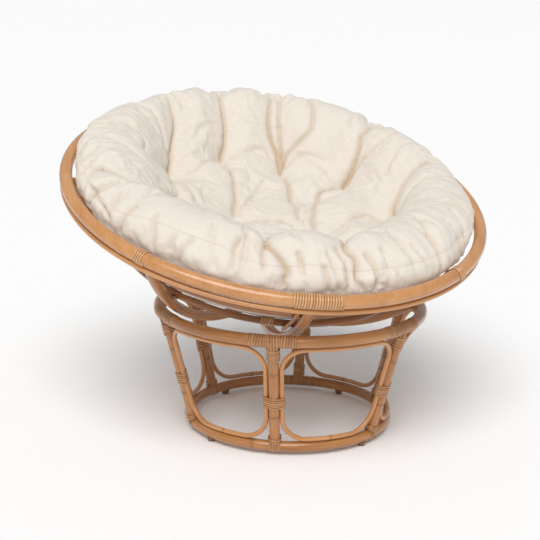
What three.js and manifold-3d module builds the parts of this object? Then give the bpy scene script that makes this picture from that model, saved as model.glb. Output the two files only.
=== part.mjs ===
// Papasan chair: a round rattan bowl that rests in a six-post stand, with a tufted cushion in it.
// Millimetres, +Z up, front towards -Y. The origin is on the floor under the middle of the chair.
// Azimuths are in degrees, from the front (-Y) towards the right (+X).
import * as THREE from "three";
import { mergeVertices } from "three/addons/utils/BufferGeometryUtils.js";
import Module from "manifold-3d";

const wasm = await Module();
wasm.setup();

// Clearances and the cane strand that ties the poles
const gap = 0.3;
const seatGap = 0.1;
const overrun = 6;
const strandThickness = 1.2;
const strandWidth = 5.4;
const strandSpacing = 0.8;

// Bowl frame
const bowlTiltDeg = 18.05;
const rimRadius = 533;
const rimPoleRadius = 16.3;
const rimJointAzimuth = 75;
const underRingPoleRadius = 6;
const underRingOffset = 7;
const bowlDepth = 331;
const ribRimInset = 11;
const ribPoleRadius = 13;
const ribCount = 8;
const firstRibAzimuth = -60;
const ribEndDrop = 6;
const ribInset = 6;
const hubRadius = 55;
const hubPoleRadius = 14;
const innerRingPoleRadius = 8.5;
const upperRingDrop = 91;
const lowerRingDrop = 154;

// Bindings on the bowl: where each one is centred and how often the strand goes round
const frontSplice = { azimuth: -15, turns: 18 };
const leftBinding = { azimuth: -60, turns: 4 };
const rightBinding = { azimuth: 30, turns: 4 };
const lowerRingBinding = { azimuth: -24.3, turns: 5 };

// Thin brace cane beside the front rib, outside the inner rings
const bracePoleRadius = 5;
const braceAzimuths = [-17.4, -17.6, -18, -18.6];
const braceTopDrop = 50;
const braceLength = 118;

// Stand: how far the bowl lies off its axis, to the left and back, and how far it is turned
const seatShiftLeft = 5;
const seatShiftBack = 10.4;
const standTurnDeg = -34.2;
const postCount = 6;
const topRingRadius = 334;
const topRingPoleRadius = 14.5;
const topRingHeight = 308;
const bottomRingRadius = 255;
const bottomRingPoleRadius = 13;
const bottomRingHeight = 22;
const postRadius = 13;
const postInset = 5;
const hoopPoleRadius = 5.75;
const hoopCorner = 60;
const topWrapReach = 59;
const seatWrapReach = 71;
const seatWrapAzimuth = 240;
const topWrapDrop = 48;
const bottomWrapReach = 12;
const bottomWrapRise = 28;
const longWrapReach = 47;
const longWrapRise = 50;
const longWrapAzimuth = 180;
const midBindingHeight = 148;
const midBindingTurns = 5;
const glideAzimuths = [-40.8, 52.8, 153, -131];
const glideTopRadius = 11;
const glideBaseRadius = 9;
const glideHeight = 12;

// Cushion
const cushionInset = 26;
const rollHeight = 88;
const rollSlide = 22;
const rollSlideAzimuth = -160;
const frontRollLift = 18;
const frontRollAzimuth = -20;
const seatDepth = 44;
const undersideDepth = 196;
const creaseDepth = 25;
const lobeCount = 8;
const firstTuftAzimuth = -122.7;
const innerTuftRadius = 120;
const innerTuftAzimuths = [-75, 35];
const innerTuftDepth = 26;
const innerTuftSpread = 42;

// Rows of the cushion's upper side, from the middle out: radius as a share of the cushion's
// radius, height as a share of the roll's, then how far a crease draws the row in and down
const upperShares = [
  [0.115, -0.49, 0, 0],
  [0.175, -0.48, 0, 0],
  [0.235, -0.46, 0, 0.05],
  [0.3, -0.41, 0, 0.15],
  [0.375, -0.32, 0, 0.35],
  [0.45, -0.2, 0, 0.75],
  [0.523, -0.11, 0, 1.1],
  [0.59, 0.12, -0.15, 0.95],
  [0.665, 0.52, -0.2, 0.75],
  [0.745, 0.85, -0.1, 0.6],
  [0.845, 1, 0.05, 0.55],
  [0.925, 0.84, 0.3, 0.4],
  [0.98, 0.55, 0.45, 0.2],
  [1, 0.28, 0.45, 0],
  [0.996, 0.06, 0.3, 0],
];
// Rows of its wall: depth as a share of the underside's, then how far it swells past the rings
const wallShares = [
  [0.06, 0.025],
  [0.25, 0.023],
  [0.46, 0],
  [0.605, 0.008],
  [0.776, 0],
];
// Rows of its underside: radius and depth
const undersideShares = [
  [0.63, 0.9],
  [0.4, 0.97],
  [0.18, 0.995],
];

// Facets
const bowlSteps = 48;
const standSteps = 36;
const rimSides = 12;
const thinSides = 6;
const ribSides = 8;
const ribSteps = 12;
const hubSteps = 24;
const poleSides = 8;
const ringSides = 8;
const braceSteps = 5;
const rimTurnSteps = 10;
const midTurnSteps = 8;
const cornerSteps = 4;
const topRunSteps = 4;
const bottomRunSteps = 2;

// Sizes that follow from those above
const sphereRadius = ((rimRadius - ribRimInset) ** 2 + bowlDepth ** 2) / (2 * bowlDepth);
const sphereRise = sphereRadius - bowlDepth;
const cushionRadius = rimRadius - cushionInset;
const tilt = THREE.MathUtils.degToRad(bowlTiltDeg);
const strandPitch = strandWidth + strandSpacing;
const skin = gap + strandThickness;
const topWrapRadius = topRingPoleRadius + skin;
const bottomWrapRadius = bottomRingPoleRadius + skin;
const underRingRadius = rimRadius + underRingOffset;
const bindingRadius = (rimPoleRadius + skin) / Math.cos(Math.PI / rimTurnSteps);
const underRingDrop = leg(rimPoleRadius + skin + gap + underRingPoleRadius, underRingOffset);
const ribStart = Math.asin((hubRadius + ribInset) / sphereRadius);
const ribEnd = Math.acos((sphereRise + ribEndDrop) / sphereRadius);
const ribSagitta = sphereRadius * (1 - Math.cos((ribEnd - ribStart) / (2 * ribSteps)));
const ringSphere = sphereRadius - ribSagitta - ribPoleRadius - gap - innerRingPoleRadius;
const braceSphere = ringSphere + innerRingPoleRadius + gap + bracePoleRadius;
const hubSphere = sphereRadius + ribPoleRadius - hubPoleRadius;
const upperRingRadius = leg(ringSphere, sphereRise + upperRingDrop);
const lowerRingRadius = leg(ringSphere, sphereRise + lowerRingDrop);
const hubDrop = leg(hubSphere, hubRadius) - sphereRise;
const bowlSagitta = rimRadius * (1 - Math.cos(Math.PI / bowlSteps));
const boundRingRadius = (innerRingPoleRadius + skin) / Math.cos(Math.PI / rimTurnSteps);
const cushionSphere = ringSphere - boundRingRadius - gap - bowlSagitta;
const standSagitta = topRingRadius * (1 - Math.cos(Math.PI / standSteps));
const seatDistance = sphereRadius + ribPoleRadius + seatGap + topWrapRadius;
const seatShift = Math.hypot(seatShiftLeft, seatShiftBack);
const nearestReach = topRingRadius - standSagitta - seatShift;
const sphereHeight = topRingHeight + leg(seatDistance, nearestReach);
const rimHeight = sphereHeight - sphereRise * Math.cos(tilt);
const slope = Math.atan2(topRingRadius - bottomRingRadius, topRingHeight - bottomRingHeight);
const slant = Math.hypot(topRingRadius - bottomRingRadius, topRingHeight - bottomRingHeight);
const hoopReach = postRadius + gap + hoopPoleRadius;

function leg(hypotenuse, other) {
  return Math.sqrt(hypotenuse ** 2 - other ** 2);
}

function heading(degrees) {
  const angle = THREE.MathUtils.degToRad(degrees);
  return new THREE.Vector3(Math.sin(angle), -Math.cos(angle), 0);
}

const material = (color, roughness) =>
  new THREE.MeshStandardMaterial({ color, roughness, metalness: 0 });

// Turns a geometry inside out if its faces point inwards.
function outward(geometry) {
  const solid = mergeVertices(bare(geometry));
  const index = solid.index.array;
  const corner = (i) => new THREE.Vector3().fromBufferAttribute(solid.attributes.position, index[i]);
  let volume = 0;
  for (let i = 0; i < index.length; i += 3) {
    volume += corner(i).dot(corner(i + 1).cross(corner(i + 2)));
  }
  if (volume < 0) {
    solid.setIndex([...index].reverse());
  }
  solid.computeVertexNormals();
  return solid;
}

function bare(geometry) {
  const copy = geometry.clone();
  copy.deleteAttribute("normal");
  copy.deleteAttribute("uv");
  return copy;
}

function toManifold(geometry) {
  const solid = outward(geometry);
  return new wasm.Manifold(new wasm.Mesh({
    numProp: 3,
    vertProperties: new Float32Array(solid.attributes.position.array),
    triVerts: new Uint32Array(solid.index.array),
  }));
}

function fromManifold(manifold) {
  const { vertProperties, triVerts } = manifold.getMesh();
  const geometry = new THREE.BufferGeometry();
  geometry.setAttribute("position", new THREE.BufferAttribute(new Float32Array(vertProperties), 3));
  geometry.setIndex([...triVerts]);
  geometry.computeVertexNormals();
  return geometry;
}

// The closed surface through rings of points. It is closed by a point at each end, or on itself.
function surface(rings, ends) {
  const count = rings[0].length;
  const points = [...rings.flat(), ...(ends ?? [])];
  const faces = [];
  for (let i = 0; i < (ends ? rings.length - 1 : rings.length); i += 1) {
    for (let j = 0; j < count; j += 1) {
      const a = i * count + j;
      const b = i * count + (j + 1) % count;
      const c = ((i + 1) % rings.length) * count + (j + 1) % count;
      const d = ((i + 1) % rings.length) * count + j;
      faces.push(a, b, c, a, c, d);
    }
  }
  if (ends) {
    const last = (rings.length - 1) * count;
    for (let j = 0; j < count; j += 1) {
      const next = (j + 1) % count;
      faces.push(rings.length * count, next, j);
      faces.push(rings.length * count + 1, last + j, last + next);
    }
  }
  const geometry = new THREE.BufferGeometry().setFromPoints(points);
  geometry.setIndex(faces);
  return outward(geometry);
}

function middle(points) {
  const sum = points.reduce((total, point) => total.add(point), new THREE.Vector3());
  return sum.divideScalar(points.length);
}

// A round pole bent into a whole ring at the given height. One corner of its section points
// along the angle `facing`.
function ringGeometry({ radius, pole, sides, steps, height = 0, facing = 0 }) {
  const profile = [];
  for (let i = 0; i < sides; i += 1) {
    const angle = facing + (2 * Math.PI * i) / sides;
    profile.push(new THREE.Vector2(radius + pole * Math.cos(angle), pole * Math.sin(angle)));
  }
  profile.push(profile[0].clone());
  const ring = new THREE.LatheGeometry(profile, steps);
  ring.rotateX(Math.PI / 2);
  ring.translate(0, 0, height);
  return outward(ring);
}

function circleShape(radius, sides) {
  const corners = [];
  for (let i = 0; i < sides; i += 1) {
    const angle = (2 * Math.PI * i) / sides;
    corners.push(new THREE.Vector2(radius * Math.cos(angle), radius * Math.sin(angle)));
  }
  return new THREE.Shape(corners);
}

function poleAlong(path, radius, sides, steps) {
  const options = { steps, bevelEnabled: false, extrudePath: path };
  return outward(new THREE.ExtrudeGeometry(circleShape(radius, sides), options));
}

// A pole between two heights on the line of a post that stands towards the front.
function leaningPole(radius, from, to) {
  const pole = new THREE.CylinderGeometry(radius, radius, to - from, poleSides);
  pole.rotateX(Math.PI / 2);
  pole.translate(0, 0, (from + to) / 2);
  pole.rotateX(slope);
  pole.translate(0, -bottomRingRadius, bottomRingHeight);
  return outward(pole);
}

// Part of the circle that the rim's pole follows.
class RimArc extends THREE.Curve {
  constructor(start, sweep) {
    super();
    this.start = start;
    this.sweep = sweep;
  }

  getPoint(share) {
    return heading(this.start + this.sweep * share).multiplyScalar(rimRadius);
  }
}

// The line of a rib, from the hub up to the rim, on the bowl's sphere.
class RibArc extends THREE.Curve {
  getPoint(share) {
    const angle = ribStart + (ribEnd - ribStart) * share;
    const radius = sphereRadius * Math.sin(angle);
    return new THREE.Vector3(0, -radius, sphereRise - sphereRadius * Math.cos(angle));
  }
}

// A rib, its ends cut to the hub and to what it meets at the rim: the pole, or the strand round it.
function ribGeometry(rimReach) {
  const rimPole = (rimReach + gap) / Math.cos(Math.PI / rimSides);
  const rib = toManifold(poleAlong(new RibArc(), ribPoleRadius, ribSides, ribSteps));
  const rim = toManifold(ringGeometry({
    radius: rimRadius, pole: rimPole, sides: rimSides, steps: bowlSteps,
  }));
  const hub = toManifold(ringGeometry({
    radius: hubRadius, pole: hubPoleRadius + gap, sides: ringSides, steps: hubSteps, height: -hubDrop,
  }));
  return fromManifold(rib.subtract(rim).subtract(hub));
}

function innerRingGeometry(radius, drop) {
  return ringGeometry({
    radius,
    pole: innerRingPoleRadius,
    sides: thinSides,
    steps: bowlSteps,
    height: -drop,
    facing: -Math.atan2(sphereRise + drop, radius),
  });
}

function braceGeometry() {
  const points = braceAzimuths.map((azimuth, i) => {
    const drop = braceTopDrop + (braceLength * i) / (braceAzimuths.length - 1);
    const point = heading(azimuth).multiplyScalar(leg(braceSphere, sphereRise + drop));
    return point.setZ(-drop);
  });
  const path = new THREE.CatmullRomCurve3(points);
  return poleAlong(path, bracePoleRadius, thinSides, braceSteps);
}

// How far the poles that a strand ties reach in the direction of an angle.
function reach(poles, angle) {
  const reaches = poles.map(({ x, y, radius }) =>
    radius + gap + x * Math.cos(angle) + y * Math.sin(angle));
  return Math.max(...reaches);
}

// The corner between two neighbouring flats of the strand's outline round the poles.
function outlineCorner(poles, index, steps, extra) {
  const first = (2 * Math.PI * index) / steps;
  const second = (2 * Math.PI * (index + 1)) / steps;
  const near = reach(poles, first) + extra;
  const far = reach(poles, second) + extra;
  const turn = Math.sin(second - first);
  return {
    x: (near * Math.sin(second) - far * Math.sin(first)) / turn,
    y: (far * Math.cos(first) - near * Math.cos(second)) / turn,
  };
}

// One unbroken flat strand wound round a group of poles. `place` puts a point of the poles'
// cross-section at a distance along them.
function winding(name, { poles, turns, steps, place }) {
  const rings = [];
  for (let i = 0; i <= turns * steps; i += 1) {
    const inner = outlineCorner(poles, i, steps, 0);
    const outer = outlineCorner(poles, i, steps, strandThickness);
    const centre = (i / steps - turns / 2) * strandPitch;
    const low = centre - strandWidth / 2;
    const high = centre + strandWidth / 2;
    rings.push([
      place(inner.x, inner.y, low),
      place(inner.x, inner.y, high),
      place(outer.x, outer.y, high),
      place(outer.x, outer.y, low),
    ]);
  }
  console.log(`${name}: least gap between turns ${leastGap(rings, steps).toFixed(2)} mm`);
  return surface(rings, [middle(rings[0]), middle(rings[rings.length - 1])]);
}

// The least distance between a turn's upper corners and the next turn's lower ones.
function leastGap(rings, steps) {
  let least = Infinity;
  for (let i = 0; i + steps < rings.length; i += 1) {
    const [innerLow, , , outerLow] = rings[i + steps];
    const [, innerHigh, outerHigh] = rings[i];
    least = Math.min(least, innerHigh.distanceTo(innerLow), outerHigh.distanceTo(outerLow));
  }
  return least;
}

// How far out the flat between two steps of a bowl ring lies at an azimuth.
function stepRadius(radius, azimuth) {
  const half = Math.PI / bowlSteps;
  const turned = THREE.MathUtils.euclideanModulo(THREE.MathUtils.degToRad(azimuth), 2 * half);
  return (radius * Math.cos(half)) / Math.cos(turned - half);
}

// A binding round the rim or a ring of the bowl.
function ringBinding(name, { azimuth, turns }, radius, pole, drop) {
  return winding(name, {
    poles: [{ x: 0, y: 0, radius: pole }],
    turns,
    steps: rimTurnSteps,
    place: (x, y, along) => {
      const turned = azimuth + THREE.MathUtils.radToDeg(along / radius);
      return heading(turned).multiplyScalar(stepRadius(radius, turned) + x).setZ(y - drop);
    },
  });
}

function standRadius(rise) {
  return bottomRingRadius + ((topRingRadius - bottomRingRadius) * rise) / slant;
}

function postGeometry() {
  const post = toManifold(leaningPole(postRadius, postInset, slant - postInset));
  const cut = post.subtract(topRing(topRingPoleRadius + gap));
  return fromManifold(cut.subtract(bottomRing(bottomRingPoleRadius + gap)));
}

function topRingGeometry(pole) {
  const facing = Math.PI - Math.atan2(leg(seatDistance, topRingRadius), topRingRadius);
  return ringGeometry({
    radius: topRingRadius, pole, sides: ringSides, steps: standSteps, height: topRingHeight, facing,
  });
}

function bottomRingGeometry(pole) {
  return ringGeometry({
    radius: bottomRingRadius, pole, sides: ringSides, steps: standSteps, height: bottomRingHeight,
    facing: Math.PI / 2,
  });
}

function topRing(pole) {
  return toManifold(topRingGeometry(pole));
}

function bottomRing(pole) {
  return toManifold(bottomRingGeometry(pole));
}

// The piece of a ring that lies within a reach of the post towards the front.
function ringPiece(ring, radius, height, pole, wrapReach) {
  const block = new THREE.BoxGeometry(2 * wrapReach, 4 * pole, 4 * pole);
  block.translate(0, -radius, height);
  return ring.intersect(toManifold(block));
}

function topWrapGeometry(wrapReach) {
  const along = ringPiece(
    topRing(topWrapRadius), topRingRadius, topRingHeight, topWrapRadius, wrapReach);
  const sleeve = toManifold(leaningPole(postRadius + skin, slant - topWrapDrop, slant));
  const bore = toManifold(leaningPole(postRadius + gap, slant - topWrapDrop - overrun, slant));
  const wrap = along.add(sleeve).subtract(topRing(topRingPoleRadius + gap));
  return fromManifold(wrap.subtract(bore));
}

function bottomWrapGeometry(wrapReach, wrapRise) {
  const along = ringPiece(
    bottomRing(bottomWrapRadius), bottomRingRadius, bottomRingHeight, bottomWrapRadius, wrapReach);
  const sleeve = toManifold(leaningPole(postRadius + skin, 0, wrapRise));
  const bore = toManifold(leaningPole(postRadius + gap, 0, wrapRise + overrun));
  const ring = bottomRing(bottomRingPoleRadius + gap);
  return fromManifold(along.add(sleeve).subtract(ring).subtract(bore));
}

function midBindingGeometry(name) {
  const rise = (midBindingHeight - bottomRingHeight) / Math.cos(slope);
  const sag = standRadius(rise) - leg(standRadius(rise), hoopReach);
  const lean = new THREE.Matrix4().makeRotationX(slope);
  lean.setPosition(0, -bottomRingRadius, bottomRingHeight);
  return winding(name, {
    poles: [
      { x: 0, y: 0, radius: postRadius },
      { x: -hoopReach, y: sag, radius: hoopPoleRadius },
      { x: hoopReach, y: sag, radius: hoopPoleRadius },
    ],
    turns: midBindingTurns,
    steps: midTurnSteps,
    place: (x, y, along) => new THREE.Vector3(x, y, rise + along).applyMatrix4(lean),
  });
}

// Half the width of the space between two posts, along the stand's skin.
function hoopHalfWidth(rise) {
  const radius = standRadius(rise);
  return radius * (Math.PI / postCount - Math.asin(hoopReach / radius));
}

// The hoop's line on the unrolled panel, as distances sideways and up.
function hoopOutline() {
  const low = bottomWrapRadius + gap + hoopPoleRadius;
  const high = slant - topWrapRadius - gap - hoopPoleRadius;
  const outline = [];
  const corner = (side, rise, start) => {
    for (let i = 0; i <= cornerSteps; i += 1) {
      const angle = start + (Math.PI / 2) * (i / cornerSteps);
      const up = rise + hoopCorner * Math.sin(angle);
      outline.push([side * (hoopHalfWidth(up) - hoopCorner) + hoopCorner * Math.cos(angle), up]);
    }
  };
  const run = (rise, steps, side) => {
    const half = hoopHalfWidth(rise) - hoopCorner;
    for (let i = 1; i < steps; i += 1) {
      outline.push([side * half * (1 - (2 * i) / steps), rise]);
    }
  };
  corner(1, high - hoopCorner, 0);
  run(high, topRunSteps, 1);
  corner(-1, high - hoopCorner, Math.PI / 2);
  corner(-1, low + hoopCorner, Math.PI);
  run(low, bottomRunSteps, -1);
  corner(1, low + hoopCorner, 1.5 * Math.PI);
  return outline;
}

// A cane hoop in the panel that faces the front, bent to the stand's skin.
function hoopGeometry() {
  const outline = hoopOutline();
  const points = outline.map(([side, rise]) => {
    const azimuth = THREE.MathUtils.radToDeg(side / standRadius(rise));
    const point = heading(azimuth).multiplyScalar(standRadius(rise));
    return point.setZ(bottomRingHeight + rise * Math.cos(slope));
  });
  const rings = points.map((point, i) => {
    const next = points[(i + 1) % points.length];
    const before = points[(i + points.length - 1) % points.length];
    const ahead = next.clone().sub(point).normalize();
    const behind = point.clone().sub(before).normalize();
    const tangent = ahead.add(behind).normalize();
    const out = new THREE.Vector3(point.x, point.y, 0).normalize().multiplyScalar(Math.cos(slope));
    out.setZ(-Math.sin(slope)).addScaledVector(tangent, -out.dot(tangent)).normalize();
    const across = new THREE.Vector3().crossVectors(tangent, out);
    const ring = [];
    for (let j = 0; j < thinSides; j += 1) {
      const angle = Math.PI / 2 + (2 * Math.PI * j) / thinSides;
      const corner = point.clone().addScaledVector(out, hoopPoleRadius * Math.cos(angle));
      ring.push(corner.addScaledVector(across, hoopPoleRadius * Math.sin(angle)));
    }
    return ring;
  });
  return surface(rings);
}

function glideGeometry(azimuth) {
  const glide = new THREE.CylinderGeometry(glideTopRadius, glideBaseRadius, glideHeight, poleSides);
  glide.rotateX(Math.PI / 2);
  glide.translate(0, -bottomRingRadius, glideHeight / 2);
  const ring = bottomRingGeometry(bottomRingPoleRadius + gap);
  ring.rotateZ(-THREE.MathUtils.degToRad(azimuth));
  return fromManifold(toManifold(glide).subtract(toManifold(ring)));
}

// How deep the nearest of the seat's tufts draws the surface down.
function innerTuft(point) {
  const depths = innerTuftAzimuths.map((azimuth) => {
    const tuft = heading(azimuth).multiplyScalar(innerTuftRadius);
    const away = Math.hypot(point.x - tuft.x, point.y - tuft.y) / innerTuftSpread;
    return innerTuftDepth * Math.exp(-(away ** 2));
  });
  return Math.max(...depths);
}

function cushionRow(radius, height, drawn, sunk) {
  const row = [];
  for (let i = 0; i < bowlSteps; i += 1) {
    const crease = 1 - Math.abs(Math.sin((Math.PI * lobeCount * i) / bowlSteps));
    const around = firstTuftAzimuth + (360 * i) / bowlSteps;
    const point = heading(around).multiplyScalar(radius - drawn * crease * creaseDepth);
    const rollShare = Math.max(height, 0) / rollHeight;
    const tuft = height < 0 ? innerTuft(point) : 0;
    const facing = THREE.MathUtils.degToRad(around - frontRollAzimuth);
    const lift = frontRollLift * rollShare * Math.max(Math.cos(facing), 0);
    point.setZ(height + lift - sunk * crease * creaseDepth - tuft);
    point.addScaledVector(heading(rollSlideAzimuth), rollSlide * rollShare);
    row.push(point);
  }
  return row;
}

// The cushion: a dished seat between tufts, a thick roll round it, and a wall and an underside
// that lie in the bowl's rings.
function cushionGeometry() {
  const upper = upperShares.map(([radiusShare, heightShare, drawn, sunk]) =>
    cushionRow(radiusShare * cushionRadius, heightShare * rollHeight, drawn, sunk));
  const wall = wallShares.map(([depthShare, swellShare]) => {
    const depth = depthShare * undersideDepth;
    const radius = leg(cushionSphere * (1 + swellShare), sphereRise + depth);
    return plainRow(radius, -depth);
  });
  const underside = undersideShares.map(([radiusShare, depthShare]) =>
    plainRow(radiusShare * cushionRadius, -depthShare * undersideDepth));
  const ends = [
    new THREE.Vector3(0, 0, -seatDepth),
    new THREE.Vector3(0, 0, -undersideDepth),
  ];
  return surface([...upper, ...wall, ...underside], ends);
}

function plainRow(radius, height) {
  const row = [];
  for (let i = 0; i < bowlSteps; i += 1) {
    row.push(heading(firstTuftAzimuth + (360 * i) / bowlSteps).multiplyScalar(radius).setZ(height));
  }
  return row;
}

const rattan = 0xc28e5a;
const darkRattan = 0xa86f3f;
const cane = 0xcfa06c;
const cotton = 0xeee6d8;

function addMesh(group, name, geometry, color, roughness, azimuth = 0) {
  const mesh = new THREE.Mesh(geometry, material(color, roughness));
  mesh.name = name;
  mesh.rotation.z = THREE.MathUtils.degToRad(azimuth);
  group.add(mesh);
}

function makeStand() {
  const stand = new THREE.Group();
  const post = postGeometry();
  const hoop = hoopGeometry();
  const topWrap = topWrapGeometry(topWrapReach);
  const seatWrap = topWrapGeometry(seatWrapReach);
  const bottomWrap = bottomWrapGeometry(bottomWrapReach, bottomWrapRise);
  const longWrap = bottomWrapGeometry(longWrapReach, longWrapRise);
  const midBinding = midBindingGeometry("mid_binding");
  addMesh(stand, "top_ring", topRingGeometry(topRingPoleRadius), rattan, 0.35);
  addMesh(stand, "bottom_ring", bottomRingGeometry(bottomRingPoleRadius), rattan, 0.35);
  for (let i = 0; i < postCount; i += 1) {
    const azimuth = (360 * i) / postCount;
    const number = i + 1;
    addMesh(stand, `post_${number}`, post, rattan, 0.35, azimuth);
    addMesh(stand, `hoop_${number}`, hoop, darkRattan, 0.4, azimuth + 180 / postCount);
    const tee = azimuth === seatWrapAzimuth ? seatWrap : topWrap;
    addMesh(stand, `top_wrap_${number}`, tee, cane, 0.5, azimuth);
    addMesh(stand, `mid_binding_${number}`, midBinding, cane, 0.5, azimuth);
    const wrap = azimuth === longWrapAzimuth ? longWrap : bottomWrap;
    addMesh(stand, `bottom_wrap_${number}`, wrap, cane, 0.5, azimuth);
  }
  glideAzimuths.forEach((azimuth, i) => {
    addMesh(stand, `glide_${i + 1}`, glideGeometry(azimuth), darkRattan, 0.5, azimuth);
  });
  stand.position.set(seatShiftLeft, -sphereRise * Math.sin(tilt) - seatShiftBack, 0);
  stand.rotation.z = THREE.MathUtils.degToRad(standTurnDeg);
  return stand;
}

function makeBowl() {
  const bowl = new THREE.Group();
  const jointTurn = THREE.MathUtils.radToDeg(gap / rimRadius);
  const half = poleAlong(
    new RimArc(jointTurn / 2, 180 - jointTurn), rimPoleRadius, rimSides, bowlSteps / 2);
  addMesh(bowl, "rim_back", half, rattan, 0.3, rimJointAzimuth);
  addMesh(bowl, "rim_front", half, rattan, 0.3, rimJointAzimuth + 180);
  const underRing = ringGeometry({
    radius: underRingRadius, pole: underRingPoleRadius, sides: thinSides, steps: bowlSteps,
    height: -underRingDrop, facing: Math.atan2(underRingDrop, -underRingOffset),
  });
  addMesh(bowl, "under_rim_ring", underRing, darkRattan, 0.4);
  const nailedRib = ribGeometry(rimPoleRadius);
  const boundRib = ribGeometry(bindingRadius);
  for (let i = 0; i < ribCount; i += 1) {
    const azimuth = firstRibAzimuth + (360 * i) / ribCount;
    const bound = [frontSplice, leftBinding, rightBinding].some((tie) => tie.azimuth === azimuth);
    addMesh(bowl, `rib_${i + 1}`, bound ? boundRib : nailedRib, rattan, 0.4, azimuth);
  }
  const hub = ringGeometry({
    radius: hubRadius, pole: hubPoleRadius, sides: ringSides, steps: hubSteps, height: -hubDrop,
  });
  addMesh(bowl, "hub_ring", hub, darkRattan, 0.4);
  const upperRing = innerRingGeometry(upperRingRadius, upperRingDrop);
  addMesh(bowl, "inner_ring_upper", upperRing, darkRattan, 0.4);
  const lowerRing = innerRingGeometry(lowerRingRadius, lowerRingDrop);
  addMesh(bowl, "inner_ring_lower", lowerRing, darkRattan, 0.4);
  addMesh(bowl, "front_brace", braceGeometry(), rattan, 0.4);
  addBowlBindings(bowl);
  return bowl;
}

function addBowlBindings(bowl) {
  const onRim = (name, binding) => {
    addMesh(bowl, name, ringBinding(name, binding, rimRadius, rimPoleRadius, 0), cane, 0.5);
  };
  onRim("front_splice_binding", frontSplice);
  onRim("left_rim_binding", leftBinding);
  onRim("right_rim_binding", rightBinding);
  const name = "lower_ring_binding";
  const binding = ringBinding(
    name, lowerRingBinding, lowerRingRadius, innerRingPoleRadius, lowerRingDrop);
  addMesh(bowl, name, binding, cane, 0.5);
}

function makeChair() {
  const chair = new THREE.Group();
  const seat = new THREE.Group();
  seat.add(makeBowl());
  addMesh(seat, "cushion", cushionGeometry(), cotton, 0.95);
  seat.position.z = rimHeight;
  seat.rotation.x = tilt;
  chair.add(makeStand(), seat);
  const lowSide = rimRadius * Math.cos(tilt) + rimPoleRadius;
  const highSide = underRingRadius * Math.cos(tilt) + underRingDrop * Math.sin(tilt)
    + underRingPoleRadius;
  chair.position.y = (lowSide - highSide) / 2;
  return chair;
}

export default makeChair();
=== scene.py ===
"""Papasan chair: a round rattan bowl with a tufted cushion, resting in a stand of six posts.

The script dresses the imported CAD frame. Everything is in metres in the chair's own frame:
the floor is Z = 0, the front is -Y, and azimuths run from the front towards +X.
"""
import math

import bpy
import numpy as np
from mathutils import Matrix, Vector, noise


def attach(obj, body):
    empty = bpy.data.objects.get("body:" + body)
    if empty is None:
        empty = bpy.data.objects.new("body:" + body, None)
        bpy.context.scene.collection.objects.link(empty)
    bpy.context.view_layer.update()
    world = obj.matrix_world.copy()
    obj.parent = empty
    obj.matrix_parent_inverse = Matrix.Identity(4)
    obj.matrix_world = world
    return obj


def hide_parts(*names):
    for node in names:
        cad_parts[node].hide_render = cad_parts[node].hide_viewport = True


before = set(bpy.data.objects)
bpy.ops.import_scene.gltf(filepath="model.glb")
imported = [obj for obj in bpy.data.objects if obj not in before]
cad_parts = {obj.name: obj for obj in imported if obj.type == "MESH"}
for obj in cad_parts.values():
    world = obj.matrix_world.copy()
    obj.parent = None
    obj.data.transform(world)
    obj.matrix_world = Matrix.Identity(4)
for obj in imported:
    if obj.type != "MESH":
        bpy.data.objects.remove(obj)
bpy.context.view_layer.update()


# ---- Studio ----
# A plain white floor that runs to the horizon, an evenly lit white room, one large soft light
# high in front, and the camera at the height and turn of the photograph.

def linear(hex_colour):
    """An sRGB hex colour as the linear values that a shader takes."""
    shares = [int(hex_colour[i:i + 2], 16) / 255 for i in (1, 3, 5)]
    return (*(s / 12.92 if s <= 0.04045 else ((s + 0.055) / 1.055) ** 2.4 for s in shares), 1.0)


def feed(material, node, inputs):
    """Sets a node's inputs. Each is a value, or the output that feeds it."""
    for name, value in inputs.items():
        if isinstance(value, bpy.types.NodeSocket):
            material.node_tree.links.new(value, node.inputs[name])
        else:
            node.inputs[name].default_value = value


def wire(material, kind, output, inputs, **settings):
    """Adds a shader node with its settings and inputs, and returns one of its outputs."""
    node = material.node_tree.nodes.new("ShaderNode" + kind)
    for name, value in settings.items():
        setattr(node, name, value)
    feed(material, node, inputs)
    return node.outputs[output]


def spread(material, value, low, high, to_low=0, to_high=1):
    """Maps the values from low to high onto another span."""
    return wire(material, "MapRange", "Result", {
        "Value": value, "From Min": low, "From Max": high, "To Min": to_low, "To Max": to_high})


def new_material(name):
    material = bpy.data.materials.new(name)
    material.use_nodes = True
    return material, material.node_tree.nodes["Principled BSDF"]


FLOOR_SIZE = 120.0
bpy.ops.mesh.primitive_plane_add(size=FLOOR_SIZE, location=(0, 0, 0))
studio_floor = bpy.context.object
studio_floor.name = "studio_floor"
floor_paint, floor_shader = new_material("matt_white_floor_paint")
feed(floor_paint, floor_shader, {"Base Color": linear("#FFFFFF"), "Roughness": 0.9})
studio_floor.data.materials.append(floor_paint)

# the room is white where the camera sees it directly, and dimmer as a light
ROOM_STRENGTH = 0.42
sky = bpy.data.worlds.new("studio_air")
bpy.context.scene.world = sky
sky.use_nodes = True
seen_directly = wire(sky, "LightPath", "Is Camera Ray", {})
feed(sky, sky.node_tree.nodes["Background"], {
    "Color": linear("#FFFFFF"), "Strength": spread(sky, seen_directly, 0, 1, ROOM_STRENGTH, 1)})
bpy.context.scene.view_settings.view_transform = "Standard"

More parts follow.
